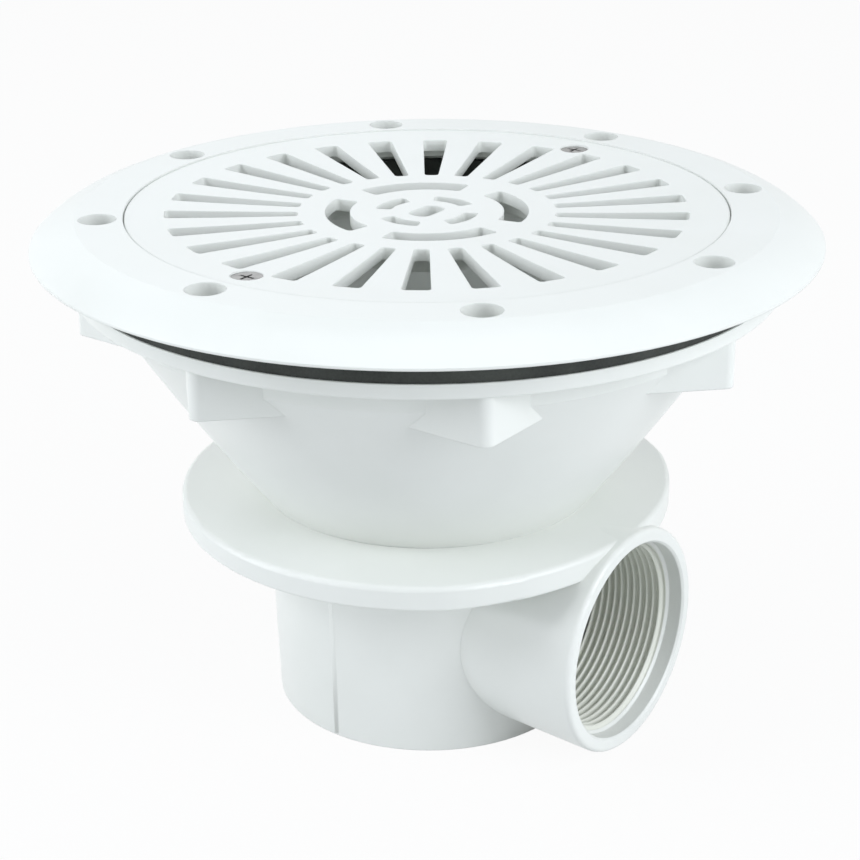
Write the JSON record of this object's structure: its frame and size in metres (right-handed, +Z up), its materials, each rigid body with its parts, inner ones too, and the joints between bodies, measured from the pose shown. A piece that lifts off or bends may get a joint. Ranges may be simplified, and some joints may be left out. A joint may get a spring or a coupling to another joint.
{
  "type": "pool main drain",
  "caption": "Funnel-shaped pool main drain with a round slotted grille, a screwed clamp ring over two gaskets, a collar and a threaded side outlet.",
  "frame": {"origin": "on the drain's axis, at the level it stands on", "axes": "+Z up along the axis to the grille, +X along the outlet towards the pipe"},
  "size_m": [0.2348, 0.2348, 0.1591],
  "materials": {
    "white_plastic": "moulded ABS, satin to semi-gloss",
    "black_rubber": "matt black rubber sheet",
    "stainless_steel": "plain stainless steel",
    "insert_brass": "turned brass"
  },
  "bodies": {
    "root": {"body": "white_plastic", "lower_gasket": "black_rubber", "upper_gasket": "black_rubber", "clamp_ring": "white_plastic", "grille": "white_plastic", "grille_screws": "stainless_steel", "clamp_screws": "stainless_steel", "threaded_inserts": "insert_brass"}
  },
  "joints": []
}
